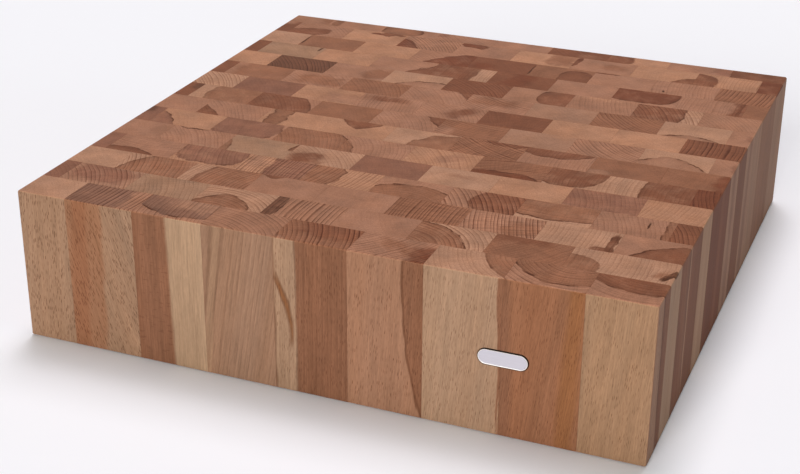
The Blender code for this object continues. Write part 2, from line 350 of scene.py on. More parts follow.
def makeStaveTree(material):
    # a run of staves: a lattice box on each point, rounded where it meets the block's outer edges
    tree = bpy.data.node_groups.new("staveRun", "GeometryNodeTree")
    addSocket = tree.interface.new_socket
    for name, kind in (("Geometry", "Geometry"), ("Count", "Int"), ("First Centre", "Vector"),
                       ("Half Size", "Vector"), ("Block Centre", "Vector"), ("Block Half Size", "Vector"),
                       ("Edge Radius", "Float"), ("Arris", "Float"), ("Edge Steps", "Int")):
        addSocket(name=name, in_out="INPUT", socket_type="NodeSocket" + kind)
    addSocket(name="Geometry", in_out="OUTPUT", socket_type="NodeSocketGeometry")
    add = partial(addNode, tree)
    given = add("NodeGroupInput").outputs
    half = given["Half Size"]

    # the lattice: two lines at each side for the arris, and the edge steps between
    lines = add("Math", [given["Edge Steps"], 2.0, 4.0], "MULTIPLY_ADD")
    lattice = add("GeometryNodeMeshCube", {
        "Size": (1, 1, 1), "Vertices X": lines, "Vertices Y": lines, "Vertices Z": lines})
    here = add("GeometryNodeInputPosition")
    lattice = add("GeometryNodeStoreNamedAttribute", {
        "Geometry": lattice.outputs["Mesh"], "Name": "lattice", "Value": here}, data_type="FLOAT_VECTOR",
        domain="POINT")

    width = add("VectorMath", [half, (2, 0, 0)], "MULTIPLY")
    points = add("GeometryNodeMeshLine", {
        "Count": given["Count"], "Start Location": given["First Centre"], "Offset": width})
    index = add("GeometryNodeInputIndex")
    points = add("GeometryNodeStoreNamedAttribute", {
        "Geometry": points, "Name": "staveNumber", "Value": index}, data_type="INT", domain="POINT")
    points = add("GeometryNodeStoreNamedAttribute", {
        "Geometry": points, "Name": "staveCentre", "Value": here}, data_type="FLOAT_VECTOR", domain="POINT")
    staves = add("GeometryNodeInstanceOnPoints", {"Points": points, "Instance": lattice})
    staves = add("GeometryNodeRealizeInstances", {"Geometry": staves})

    # how far each lattice line lies inside the stave's face, in metres
    place = add("GeometryNodeInputNamedAttribute", {"Name": "lattice"}, data_type="FLOAT_VECTOR")
    centre = add("GeometryNodeInputNamedAttribute", {"Name": "staveCentre"}, data_type="FLOAT_VECTOR")
    side = add("VectorMath", [place], "SIGN")
    reach = add("VectorMath", [place], "ABSOLUTE")
    fromEnd = add("VectorMath", [(0.5, 0.5, 0.5), reach], "SUBTRACT")
    gaps = add("Math", [lines, 1.0], "SUBTRACT")
    line = add("VectorMath", {0: fromEnd, "Scale": gaps}, "SCALE")
    arrisPart = add("VectorMath", [line, (1, 1, 1)], "MINIMUM")
    arrisDepth = add("VectorMath", {0: arrisPart, "Scale": given["Arris"]}, "SCALE")
    beyond = add("VectorMath", [line, arrisPart], "SUBTRACT")
    steps = add("Math", [given["Edge Steps"], 1.0], "MAXIMUM")
    anglePerStep = add("Math", [math.pi / 4, steps], "DIVIDE")
    turned = add("VectorMath", {0: beyond, "Scale": anglePerStep}, "SCALE")
    eighth = add("VectorMath", [(math.pi / 4,) * 3, turned], "SUBTRACT")
    tangent = add("VectorMath", [eighth], "TANGENT")
    arc = add("VectorMath", [(1, 1, 1), tangent], "SUBTRACT")
    arcDepth = add("VectorMath", {0: arc, "Scale": given["Edge Radius"]}, "SCALE")
    depth = add("VectorMath", [arrisDepth, arcDepth], "MAXIMUM")
    fromMiddle = add("VectorMath", [half, depth], "SUBTRACT")
    spot = add("VectorMath", [side, fromMiddle], "MULTIPLY")

    # rounds a box twice: the stave by its arris, then the whole block by its edge radius
    for boxHalf, radius, boxCentre in (
            (half, given["Arris"], centre),
            (given["Block Half Size"], given["Edge Radius"], given["Block Centre"])):
        if boxCentre is not centre:
            spot = add("VectorMath", [spot, centre], "ADD")
            spot = add("VectorMath", [spot, boxCentre], "SUBTRACT")
        spread = add("CombineXYZ", {"X": radius, "Y": radius, "Z": radius})
        inner = add("VectorMath", [boxHalf, spread], "SUBTRACT")
        innerLow = add("VectorMath", {0: inner, "Scale": -1.0}, "SCALE")
        core = add("VectorMath", [spot, innerLow], "MAXIMUM")
        core = add("VectorMath", [core, inner], "MINIMUM")
        out = add("VectorMath", [spot, core], "SUBTRACT")
        length = add("VectorMath", [out], "LENGTH")
        length = add("Math", [length, 1e-9], "MAXIMUM")
        shrink = add("Math", [radius, length], "DIVIDE")
        shrink = add("Math", [shrink, 1.0], "MINIMUM")
        out = add("VectorMath", {0: out, "Scale": shrink}, "SCALE")
        spot = add("VectorMath", [core, out], "ADD")
    spot = add("VectorMath", [spot, given["Block Centre"]], "ADD")

    staves = add("GeometryNodeSetPosition", {"Geometry": staves, "Position": spot})
    for name in ("lattice", "staveCentre"):
        staves = add("GeometryNodeRemoveAttribute", {"Geometry": staves, "Name": name})
    staves = add("GeometryNodeSetMaterial", {"Geometry": staves, "Material": material})
    add("NodeGroupOutput", {"Geometry": staves})
    return tree


woodLook = {
    "endGrainFacing": (0.55, 0.8),  # how far up a surface faces where end grain sets in, and front alike
    "ringForce": (0.40, 1.15),  # the weakest and the strongest ring
    "ringStray": (0.13, 1.3),  # how quickly rings stray from their places, and how many rings far
    "lateWood": (0.56, 0.88),  # where in a ring the dark wood sets in, from 0 to 1
    "lateWoodEnds": (0.90, 1.0),
    "earlyWoodEnds": (0.04, 0.42),  # where the pale first wood ends
    "lateTint": (0.46, 0.36, 0.32),  # what full late wood makes of red, green and blue
    "earlyLift": 0.20,  # how much lighter the pale first wood is
    "rayDrift": (0.05, 0.2),  # how quickly the rays change outwards and upwards
    "rayNoise": (0.35, 0.65),  # the noise of the darkest and of the palest ray
    "rayShade": 0.10,
    "roundWithin": 0.01,  # mm between the half sizes of a round patch
    "patchCorners": 3.2,  # on any other patch: 2 is an ellipse, and more is squarer
    "patchRim": (7.0, 0.84, 1.04),  # mm from the edge, how dark the rim is, how light the middle is
    "outlineColour": "55301F",
    "patchOutline": (0.1, 0.6, 0.7, 2.3),  # mm from the edge where the line starts, is full, fades, ends
    "stripOutline": (0.2, 1.2),  # mm from the middle of the line where it fades and ends
    "stripPoint": 0.18,  # how pointed the ends of a strip are
    "fleckPitch": (1.1, 3.6),  # mm between ray flecks, across and up an outer face
    "fleckHalfSize": (0.25, 2.0),  # mm, wider than real ones so that they show
    "fleckFade": (0.4, 1.0),  # where a fleck fades and ends, as a part of its half size
    "fleckFaintest": 0.3,  # the share of flecks that vanish
    "markTint": (0.40, 0.29, 0.25),  # what flecks and ladder marks make of red, green and blue
    "pinkTint": (1.015, 0.997, 0.98, 1),
    "greyTint": (0.985, 1.003, 1.025, 1),
    "sideMottle": -0.55,  # how much weaker mottling and pores are on the sides
    "sideFibre": 0.8,  # how much stronger the fibre is there
    # the painted shade on the sides other than the front, set by how pale the wood is
    "paleness": (0.08, 0.20),  # the green of dark and of pale wood, linear
    "sideShadeColour": "6A6853",
    "sideShadeGrey": (0.04, 0.34),  # how much of that colour the dark and the pale wood take
    "sideShadeDepth": (0.86, 1.0),  # how much of its lightness the dark and the pale wood keep under the painted shade
    "highlightFacing": (0.98, 0.80),  # how squarely a surface faces where the painted highlight starts and is full
    # the tint of the painted highlight on the eased edges
    "highlightTint": (1.16, 1.13, 1.11),
    "roughness": (0.50, 0.62),
    "reliefShares": (0.5, -0.6),  # how far fibre stands up and marks sink, beside late wood
    "relief": (0.04 * mm, 0.6),  # its depth and strength
    "specular": 0.03,
}

# Soft noise that bends things: (mm across, mm up, detail, roughness, reach for each mm that a kind gives)
woodBends = {
    "wander": (14, 56, 2.0, 0.5, 2.0),  # the rings
    "wobble": (9, 36, 3.5, 0.55, 5.0),  # the edges of the patches
}

# Soft noise that weakens or shades: (its place, mm across, mm up, detail, noise from, to, least, most)
woodNoise = {
    "ringCloud": ("seeded", 15, 15, 1.0, 0.36, 0.58, 0.60, 1.10),  # where the rings are strong
    "brokenLine": ("seeded", 8, 32, 1.0, 0.40, 0.60, 0.05, 1.0),  # where a patch's outline shows
    "cloud": ("fromPith", 9, 9, 3.0, 0.35, 0.55, 0.74, 1.0),  # how full a patch is
    "sway": ("seeded", 8, 32, 2.0, 0.0, 1.0, -2.0, 2.0),  # how far a strip strays, in mm
    "fleckCloud": ("seeded", 9, 9, 1.0, 0.36, 0.62, 0.35, 1.15),  # where the flecks are strong
    "ladder": ("seeded", 5.0, 1.3, 1.0, 0.60, 0.72, 0.0, 1.0),  # short level marks, one above the other
    "mottle": ("seeded", 17, 68, 3.0, 0.3, 0.7, -0.15, 0.15),
    "fibre": ("seeded", 0.65, 16.667, 2.0, 0.3, 0.7, -0.07, 0.07),
    "streak": ("seeded", 5.5, 125, 2.5, 0.3, 0.7, -0.08, 0.08),  # the broad streaks up an outer face
    "pores": ("seeded", 0.8, 3.6, 1.0, 0.3, 0.7, -0.12, 0.12),
    "drift": ("fromPith", 20, 20, 2.0, 0.35, 0.65, 0.0, 1.0),  # between the pink and the grey tint
}


def placeWood(add):
    # where a point lies in the wood, in millimetres, and what its stave carries
    tones = ["tone", "faceTone"] + [kind + number for kind in ("patchTone", "stripTone") for number in "12"]
    inParts = ["grain", "sideLook", "extra", "faceMiddle"] + [kind + number for number in "12" for kind in (
        "patchPlace", "patchSize", "patchEdge", "stripLine", "stripForm", "stripEnds")]
    wood = {}
    for name in tones + inParts + ["pith", "lean"]:
        output = "Color" if name in tones else "Vector"
        wood[name] = add("Attribute", attribute_name=name).outputs[output]
    parts = {name: add("SeparateXYZ", [wood[name]]).outputs for name in inParts}
    coords = add("TexCoord").outputs
    place = add("VectorMath", {0: coords["Object"], "Scale": 1 / mm}, "SCALE")
    parts["place"] = add("SeparateXYZ", [place]).outputs
    parts["normal"] = add("SeparateXYZ", [coords["Normal"]]).outputs

    # the log leans a little, so the pattern shifts with height below the top
    below = add("Math", [parts["place"][2], blockHigh.z / mm], "SUBTRACT")
    shift = add("VectorMath", {0: wood["lean"], "Scale": below}, "SCALE")
    leaned = add("VectorMath", [place, shift], "SUBTRACT")
    seed = parts["extra"][0]
    seedShift = add("CombineXYZ", {"X": seed, "Y": seed})
    seeded = add("VectorMath", [leaned, seedShift], "ADD")
    wood.update(below=below, leaned=leaned, seeded=seeded)
    for name, (across, up, detail, roughness, reach) in woodBends.items():
        sized = add("VectorMath", [seeded, (1 / across, 1 / across, 1 / up)], "MULTIPLY")
        noise = add("TexNoise", {"Vector": sized, "Scale": 1.0, "Detail": detail, "Roughness": roughness})
        bend = add("VectorMath", [noise.outputs["Color"], (0.5, 0.5, 0.5)], "SUBTRACT")
        wood[name] = add("VectorMath", {0: bend, "Scale": reach}, "SCALE")
    wandering = add("VectorMath", {0: wood["wander"], "Scale": parts["grain"][2]}, "SCALE")
    fromPith = add("VectorMath", [leaned, wood["pith"]], "SUBTRACT")
    fromPith = add("VectorMath", [fromPith, wandering], "ADD")
    wood["fromPith"] = add("VectorMath", [fromPith, (1, 1, 0)], "MULTIPLY")
    for name, (source, across, up, detail, low, high, least, most) in woodNoise.items():
        sized = add("VectorMath", [wood[source], (1 / across, 1 / across, 1 / up)], "MULTIPLY")
        noise = add("TexNoise", {"Vector": sized, "Scale": 1.0, "Detail": detail})
        wood[name + "Noise"] = noise
        wood[name] = add("MapRange", [noise, low, high, least, most])

    # end grain, front face or other side, from which way the surface faces
    low, high = woodLook["endGrainFacing"]
    upright = add("Math", [parts["normal"][2]], "ABSOLUTE")
    endGrain = add("MapRange", [upright, low, high])
    onFront = add("MapRange", [parts["normal"][1], -low, -high])
    onFront = add("Math", [onFront, parts["faceMiddle"][2]], "MULTIPLY")
    offFront = add("Math", [1.0, onFront], "SUBTRACT")
    onSide = add("Math", [1.0, endGrain], "SUBTRACT")
    wood.update(upright=upright, endGrain=endGrain, onFront=onFront, offFront=offFront, onSide=onSide)
    return wood, parts


def addRings(add, wood, parts):
    # growth rings round the pith, of uneven width and strength
    seed, rayPitch, rayStrength = parts["extra"]
    radius = add("VectorMath", [wood["fromPith"]], "LENGTH")
    stray = add("Math", [radius, woodLook["ringStray"][0], seed], "MULTIPLY_ADD")
    stray = add("TexNoise", {"W": stray, "Scale": 1.0, "Detail": 1.0}, noise_dimensions="1D")
    rings = add("Math", [radius, parts["grain"][0]], "DIVIDE")
    rings = add("Math", [stray, woodLook["ringStray"][1], rings], "MULTIPLY_ADD")
    inRing = add("Math", [rings], "FRACT")
    ringNumber = add("Math", [rings], "FLOOR")
    ringNumber = add("Math", [ringNumber, seed], "ADD")
    ringForce = add("TexWhiteNoise", {"W": ringNumber}, noise_dimensions="1D")
    ringForce = add("MapRange", [ringForce.outputs["Value"], 0.0, 1.0, *woodLook["ringForce"]])
    lateWood, beforeEnd, earlyWood = (
        add("MapRange", [inRing, *woodLook[name], least, 1 - least], interpolation_type="SMOOTHSTEP")
        for name, least in (("lateWood", 0), ("lateWoodEnds", 1), ("earlyWoodEnds", 1)))
    ringReach = add("Mix", {"Factor": wood["endGrain"], "A": parts["sideLook"][2], "B": 1.0})
    contrast = add("Math", [wood["ringCloud"], parts["grain"][1]], "MULTIPLY")
    for factor in (beforeEnd, ringForce, ringReach, contrast):
        lateWood = add("Math", [lateWood, factor], "MULTIPLY")
    for factor in (ringReach, contrast):
        earlyWood = add("Math", [earlyWood, factor], "MULTIPLY")

    # rays: hair-thin plates that run out from the pith
    outward = add("VectorMath", [wood["fromPith"]], "NORMALIZE")
    spokes = add("VectorMath", {0: outward, "Scale": rayPitch}, "SCALE")
    along = add("Math", [radius, woodLook["rayDrift"][0], seed], "MULTIPLY_ADD")
    along = add("Math", [parts["place"][2], woodLook["rayDrift"][1], along], "MULTIPLY_ADD")
    rise = add("CombineXYZ", {"Z": along})
    spokes = add("VectorMath", [spokes, rise], "ADD")
    rays = add("TexNoise", {"Vector": spokes, "Scale": 1.0, "Detail": 1.0})
    rays = add("MapRange", [rays, *woodLook["rayNoise"], -1.0, 1.0])
    for factor in (rayStrength, wood["endGrain"]):
        rays = add("Math", [rays, factor], "MULTIPLY")
    wood.update(lateWood=lateWood, earlyWood=earlyWood, rays=rays)


def addPatch(add, wood, parts, number, colour, outlines):
    # one patch of darker heartwood and the line drawn along its edge
    sizes, edge = parts["patchSize" + number], parts["patchEdge" + number]
    strayed = add("VectorMath", {0: wood["wobble"], "Scale": edge[2]}, "SCALE")
    fromSpot = add("VectorMath", [wood["leaned"], wood["patchPlace" + number]], "SUBTRACT")
    fromSpot = add("VectorMath", [fromSpot, strayed], "ADD")
    fromSpot = add("VectorMath", [fromSpot, (1, 1, 0)], "MULTIPLY")
    fromSpot = add("VectorRotate", {
        "Vector": fromSpot, "Angle": parts["patchPlace" + number][2]}, rotation_type="Z_AXIS")
    shaped = add("VectorMath", [fromSpot, wood["patchSize" + number]], "DIVIDE")

    # a round patch is an arc about its centre, and any other is squarer than an ellipse
    power = woodLook["patchCorners"]
    roundSpread = add("VectorMath", [shaped], "LENGTH")
    raised = add("VectorMath", [shaped], "ABSOLUTE")
    raised = add("VectorMath", [raised, (power,) * 3], "POWER")
    summed = add("VectorMath", [raised, (1, 1, 0)], "DOT_PRODUCT")
    squareSpread = add("Math", [summed, 1 / power], "POWER")
    isRound = add("Math", [sizes[0], sizes[1], woodLook["roundWithin"]], "COMPARE")
    spread = add("Mix", {"Factor": isRound, "A": squareSpread, "B": roundSpread})
    inside = add("Math", [1.0, spread], "SUBTRACT")
    # back to millimetres, by the smaller half width
    smaller = add("Math", [sizes[0], sizes[1]], "MINIMUM")
    inside = add("Math", [inside, smaller], "MULTIPLY")
    # a knot is shallow, and the rest runs down through the stave
    aboveFloor = add("Math", [sizes[2], wood["below"]], "ADD")
    inside = add("Math", [inside, aboveFloor], "MINIMUM")

    cover = add("MapRange", [inside, 0.0, edge[0]], interpolation_type="SMOOTHSTEP")
    for factor in (wood["cloud"], wood["offFront"]):
        cover = add("Math", [cover, factor], "MULTIPLY")
    # heartwood is darkest just inside its edge
    rimWidth, rimShade, middleShade = woodLook["patchRim"]
    rim = add("MapRange", [inside, 0.0, rimWidth, rimShade, middleShade])
    tone = add("VectorMath", {0: wood["patchTone" + number], "Scale": rim}, "SCALE")
    colour = add("Mix", {"Factor": cover, 6: colour, 7: tone}, data_type="RGBA")
    outline, fade = (
        add("MapRange", [inside, low, high, least, 1 - least], interpolation_type="SMOOTHSTEP")
        for low, high, least in ((*woodLook["patchOutline"][:2], 0), (*woodLook["patchOutline"][2:], 1)))
    for factor in (fade, edge[1], wood["brokenLine"], wood["offFront"]):
        outline = add("Math", [outline, factor], "MULTIPLY")
    return colour, add("Math", [outline, outlines], "MAXIMUM")


def addStrip(add, wood, parts, number, across, up, colour, outlines):
    # one strip up a front face, with its outline, and how far it covers the face
    line, form, ends = (parts[name + number] for name in ("stripLine", "stripForm", "stripEnds"))
    upSquared = add("Math", [up, up], "MULTIPLY")
    middle = add("Math", [up, line[1], line[0]], "MULTIPLY_ADD")
    middle = add("Math", [upSquared, line[2], middle], "MULTIPLY_ADD")
    inside = add("Math", [across, middle], "SUBTRACT")
    inside = add("Math", [inside], "ABSOLUTE")
    halfWide = add("Math", [up, form[1], form[0]], "MULTIPLY_ADD")
    inside = add("Math", [halfWide, inside], "SUBTRACT")
    fromLow = add("Math", [up, ends[0]], "SUBTRACT")
    fromHigh = add("Math", [ends[1], up], "SUBTRACT")
    fromEnds = add("Math", [fromLow, fromHigh], "MINIMUM")
    fromEnds = add("Math", [fromEnds, woodLook["stripPoint"]], "MULTIPLY")
    inside = add("Math", [inside, fromEnds], "MINIMUM")
    cover = add("MapRange", [inside, 0.0, form[2]], interpolation_type="SMOOTHSTEP")
    frontCover = add("Math", [cover, wood["onFront"]], "MULTIPLY")
    colour = add("Mix", {"Factor": frontCover, 6: colour, 7: wood["stripTone" + number]}, data_type="RGBA")
    full, end = woodLook["stripOutline"]
    outline = add("Math", [inside, end], "SUBTRACT")
    outline = add("Math", [outline], "ABSOLUTE")
    outline = add("MapRange", [outline, full, end, 1.0, 0.0], interpolation_type="SMOOTHSTEP")
    for factor in (ends[2], wood["onFront"]):
        outline = add("Math", [outline, factor], "MULTIPLY")
    return colour, add("Math", [outline, outlines], "MAXIMUM"), cover


def addSideMarks(add, wood, parts, stripCover):
    # ray flecks and ladder marks on the outer faces
    seeded = add("SeparateXYZ", [wood["seeded"]]).outputs
    across = add("Math", [seeded[0], seeded[1]], "ADD")
    place = add("CombineXYZ", {"X": across, "Y": seeded[2]})
    pitchWide, pitchHigh = woodLook["fleckPitch"]
    halfWide, halfHigh = woodLook["fleckHalfSize"]
    fadeFrom, fadeTo = woodLook["fleckFade"]
    cell = add("VectorMath", [place, (1 / pitchWide, 1 / pitchHigh, 0)], "MULTIPLY")
    cells = add("TexVoronoi", {"Vector": cell, "Scale": 1.0}, voronoi_dimensions="2D")
    fromFleck = add("VectorMath", [cell, cells.outputs["Position"]], "SUBTRACT")
    fromFleck = add("VectorMath", [fromFleck, (pitchWide / halfWide, pitchHigh / halfHigh, 0)], "MULTIPLY")
    fromFleck = add("VectorMath", [fromFleck], "LENGTH")
    fleck = add("MapRange", [fromFleck, fadeFrom, fadeTo, 1.0, 0.0], interpolation_type="SMOOTHSTEP")
    force = add("SeparateXYZ", [cells.outputs["Color"]]).outputs[0]
    force = add("MapRange", [force, woodLook["fleckFaintest"]])
    for factor in (force, wood["fleckCloud"], parts["sideLook"][0]):
        fleck = add("Math", [fleck, factor], "MULTIPLY")
    offStrips = add("Math", [1.0, stripCover], "SUBTRACT", use_clamp=True)
    ladder = wood["ladder"]
    for factor in (parts["sideLook"][1], offStrips):
        ladder = add("Math", [ladder, factor], "MULTIPLY")
    marks = add("Math", [fleck, ladder], "MAXIMUM")
    return add("Math", [marks, wood["onSide"]], "MULTIPLY")


def shadeWood(add, wood, colour):
    # mottling, fibre, pores and rays, as a change of lightness, and a drift of the hue
    onSide = wood["onSide"]
    calmer = add("Math", [onSide, woodLook["sideMottle"], 1.0], "MULTIPLY_ADD")
    stronger = add("Math", [onSide, woodLook["sideFibre"], 1.0], "MULTIPLY_ADD")
    shade = 1.0
    for name, reach in (("mottle", calmer), ("fibre", stronger), ("earlyWood", woodLook["earlyLift"]),
                        ("pores", calmer), ("rays", woodLook["rayShade"]), ("streak", onSide)):
        factor = add("Math", [wood[name], reach, 1.0], "MULTIPLY_ADD")
        shade = add("Math", [shade, factor], "MULTIPLY")
    colour = add("VectorMath", {0: colour, "Scale": shade}, "SCALE")
    drift = add("Mix", {
        "Factor": wood["drift"], 6: woodLook["pinkTint"], 7: woodLook["greyTint"]}, data_type="RGBA")
    colour = add("VectorMath", [colour, drift], "MULTIPLY")

    # painted shade: on the sides other than the front, the pale wood is painted greyer and the dark wood
    # darker, standing in for the cool shade on the shaded side
    paleness = add("SeparateXYZ", [colour]).outputs[1]
    shadeGreyBy, shadeDeepBy = (
        add("MapRange", [paleness, *woodLook["paleness"], *woodLook[name]])
        for name in ("sideShadeGrey", "sideShadeDepth"))
    paintedShade = add("Mix", {
        "Factor": shadeGreyBy, 6: colour, 7: (*toLinear(woodLook["sideShadeColour"]), 1)}, data_type="RGBA")
    paintedShade = add("VectorMath", {0: paintedShade, "Scale": shadeDeepBy}, "SCALE")
    # where the painted shade goes: the sides, but not the front
    shadedSide = add("Math", [onSide, wood["offFront"]], "MULTIPLY")
    return add("Mix", {"Factor": shadedSide, 6: colour, 7: paintedShade}, data_type="RGBA")


def paintEdgeHighlight(add, wood, parts, colour):
    # painted highlight: the eased edges are painted paler, as if they caught the light
    squarest = wood["upright"]
    for axis in (0, 1):
        facing = add("Math", [parts["normal"][axis]], "ABSOLUTE")
        squarest = add("Math", [squarest, facing], "MAXIMUM")
    highlightOnEdge = add("MapRange", [squarest, *woodLook["highlightFacing"]])
    highlighted = add("VectorMath", [colour, woodLook["highlightTint"]], "MULTIPLY")
    return add("Mix", {"Factor": highlightOnEdge, 6: colour, 7: highlighted}, data_type="RGBA")


def makeBeech():
    # oiled beech, sanded: warm pink-brown, satin, with growth rings and rays on the end grain and short
    # dark ray flecks on the sides; the heartwood patches are darker with a drawn edge
    material, add = newMaterial("oiledSandedBeech")
    wood, parts = placeWood(add)
    addRings(add, wood, parts)
    colour, outlines = wood["tone"], 0.0
    for number in "12":
        colour, outlines = addPatch(add, wood, parts, number, colour, outlines)

    # the front faces have a tone and strips of their own
    colour = add("Mix", {"Factor": wood["onFront"], 6: colour, 7: wood["faceTone"]}, data_type="RGBA")
    across, up = (
        add("Math", [parts["place"][axis], parts["faceMiddle"][number]], "SUBTRACT")
        for axis, number in ((0, 0), (2, 1)))
    across = add("Math", [across, wood["sway"]], "ADD")
    stripCover = 0.0
    for number in "12":
        colour, outlines, cover = addStrip(add, wood, parts, number, across, up, colour, outlines)
        stripCover = add("Math", [stripCover, cover], "ADD")

    # outlines, late wood and side marks darken and brown the tone
    colour = add("Mix", {
        "Factor": outlines, 6: colour, 7: (*toLinear(woodLook["outlineColour"]), 1)}, data_type="RGBA")
    marks = addSideMarks(add, wood, parts, stripCover)
    for reach, tint in ((wood["lateWood"], woodLook["lateTint"]), (marks, woodLook["markTint"])):
        darker = add("VectorMath", [colour, tint], "MULTIPLY")
        colour = add("Mix", {"Factor": reach, 6: colour, 7: darker}, data_type="RGBA")
    colour = shadeWood(add, wood, colour)
    # a painted highlight along the eased edges
    colour = paintEdgeHighlight(add, wood, parts, colour)

    # the sanded surface: late wood and fibre stand a few hundredths of a millimetre proud
    relief = add("Math", [wood["fibreNoise"], woodLook["reliefShares"][0], wood["lateWood"]], "MULTIPLY_ADD")
    relief = add("Math", [marks, woodLook["reliefShares"][1], relief], "MULTIPLY_ADD")
    bump = add("Bump", {
        "Height": relief, "Distance": woodLook["relief"][0], "Strength": woodLook["relief"][1]})
    roughness = add("MapRange", [wood["fibreNoise"], 0.0, 1.0, *woodLook["roughness"]])
    shader = add("BsdfPrincipled", {
        "Base Color": colour, "Roughness": roughness, "Normal": bump, "IOR": 1.5,
        "Specular IOR Level": woodLook["specular"]})
    add("OutputMaterial", {"Surface": shader})
    return material


# what all staves share
staveHabits = {
    "seedSteps": (7.31, 3.17, 3.7),  # from row to row, from stave to stave, and both together
    "lean": 0.02,  # how far the grain leans, in mm per mm down
    "rays": (15, 0.9),  # the least distance to the pith, and the pitch of the rays there, in mm
    "depths": (2, 1000),  # mm that a knot and any other patch go down
    "farAway": 900,  # where an unused patch or strip lies
}


def staveValues(row, number, centre, onFront):
    # one stave's attributes, from its line in the table
    tone, grain, pithX, pithY, *patches = staveRows[row][number]
    middle = np.array([centre.x / mm, centre.y / mm, 0.0])
    spacing, contrast, wander, ray = grainKinds[grain]
    perRow, perStave, together = staveHabits["seedSteps"]
    seed = perRow * row + perStave * number
    lean, farAway = staveHabits["lean"], staveHabits["farAway"]
    leastPith, rayPitch = staveHabits["rays"]
    knotDepth, patchDepth = staveHabits["depths"]
    face = frontFaces[number] if onFront else (tone, "smooth", lean * math.sin(seed))
    faceTone, look, leanX, *strips = face
    values = {
        "pith": middle + (pithX, pithY, 0),
        "grain": (spacing, contrast, wander),
        "lean": (leanX, lean * math.cos(seed), 0),
        "sideLook": sideKinds[look],
        "tone": toLinear(staveTones[tone]),
        "extra": (seed * together, max(math.hypot(pithX, pithY), leastPith) / rayPitch, ray),
    }
    patches += [(tone, farAway, farAway, 1, 1, "spot")] * 2
    for slot, (name, x, y, halfWide, halfDeep, edge, *turn) in zip("12", patches):
        values["patchPlace" + slot] = middle + (x, y, math.radians(turn[0] if turn else 0))
        values["patchSize" + slot] = (halfWide, halfDeep, knotDepth if edge == "spot" else patchDepth)
        values["patchEdge" + slot] = edgeKinds[edge]
        values["patchTone" + slot] = toLinear(staveTones[name])
    if onFront:
        values["faceMiddle"] = (middle[0], blockCentre.z / mm, 1)
        values["faceTone"] = toLinear(staveTones[faceTone])
        strips += [("tan", farAway, 0, 0, 1, 0, 1, -99, 99, 0)] * 2
        for slot, (name, x, slope, bend, halfWide, taper, soft, low, high, outline) in zip("12", strips):
            values["stripLine" + slot] = (x, slope, bend)
            values["stripForm" + slot] = (halfWide, taper, soft)
            values["stripEnds" + slot] = (low, high, outline)
            values["stripTone" + slot] = toLinear(staveTones[name])
    return values


def plainMesh(piece):
    # what the modifiers make, as the piece's own mesh
    depsgraph = bpy.context.evaluated_depsgraph_get()
    mesh = bpy.data.meshes.new_from_object(piece.evaluated_get(depsgraph))
    piece.modifiers.clear()
    piece.data = mesh
    mesh.name = piece.name
    return mesh


def makeStaves(node, row, firstNumber, count, outer, tree, beech):
    # the staves that one node of the frame stands for
    nodeLow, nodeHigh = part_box(node)
    halfGlue = Vector((glueLine / 2, glueLine / 2, 0))
    runLow = Vector(max(a, b) for a, b in zip(nodeLow - halfGlue, blockLow))
    runHigh = Vector(min(a, b) for a, b in zip(nodeHigh + halfGlue, blockHigh))
    half = (runHigh - runLow) / 2
    half.x /= count
    firstCentre = (runLow + runHigh) / 2
    firstCentre.x = runLow.x + half.x
    piece = newObject("beech_" + node, bpy.data.meshes.new("beech_" + node))
    modifier = piece.modifiers.new("staves", "NODES")
    modifier.node_group = tree
    wanted = {
        "Count": count, "First Centre": firstCentre, "Half Size": half,
        "Block Centre": blockCentre, "Block Half Size": blockHalf,
        "Edge Radius": staveShape["edgeRadius"], "Arris": staveShape["arris"],
        "Edge Steps": staveShape["edgeSteps"] if outer else 0,
    }
    for socket in tree.interface.items_tree:
        if socket.in_out == "INPUT" and socket.name in wanted:
            modifier[socket.identifier] = wanted[socket.name]
    mesh = plainMesh(piece)
    # the node group leaves an empty slot ahead of the wood's
    mesh.materials.clear()
    mesh.materials.append(beech)
    mesh.polygons.foreach_set("material_index", [0] * len(mesh.polygons))
    numbers = np.zeros(len(mesh.vertices), np.int32)
    mesh.attributes["staveNumber"].data.foreach_get("value", numbers)
    centres = [firstCentre + Vector((2 * half.x * i, 0, 0)) for i in range(count)]
    looks = [staveValues(row, firstNumber + i, centres[i], row == 1) for i in range(count)]
    return piece, numbers, looks


def paintStaves(piece, numbers, looks):
    # writes each stave's looks on its vertices, for the shader to read
    mesh = piece.data
    for name in looks[0]:
        table = np.array([look[name] for look in looks], np.float32)
        layer = mesh.attributes.new(name, "FLOAT_VECTOR", "POINT")
        layer.data.foreach_set("vector", table[numbers].ravel())
    mesh.attributes.remove(mesh.attributes["staveNumber"])


def smoothEdges(piece):
    # the flat faces stay flat and the rounded edges turn smoothly
    for polygon in piece.data.polygons:
        polygon.use_smooth = True
    weighted = piece.modifiers.new("flatFaces", "WEIGHTED_NORMAL")
    weighted.mode = "FACE_AREA"
    weighted.keep_sharp = False
    plainMesh(piece)


badgeShape = {
    "length": 30.0 * mm,
    "height": 10.0 * mm,
    "rimWidth": 0.75 * mm,    # the raised rim round the bare field
    "fieldDepth": 0.12 * mm,
    "rimRound": 0.32 * mm,    # the rounded edge, which is painted dark as the shadow in the gap round the plate
    "steps": 28,              # along each round end
    "rimSteps": 4,            # over the rounded edge
    "backEdge": 0.05 * mm,    # the tiny chamfer at the back
    "rimSlope": ((-0.18 * mm, 0), (-0.08 * mm, 0.03 * mm)),   # from the field's edge, in and back
    "fieldEdge": 0.15 * mm,   # the flat strip at the foot of the rim
    "sharpAngle": 40,         # degrees
    "pocketGap": 0.5 * mm,
    "cutterReach": 2 * mm,    # how far the pocket's cutter stands out in front
}

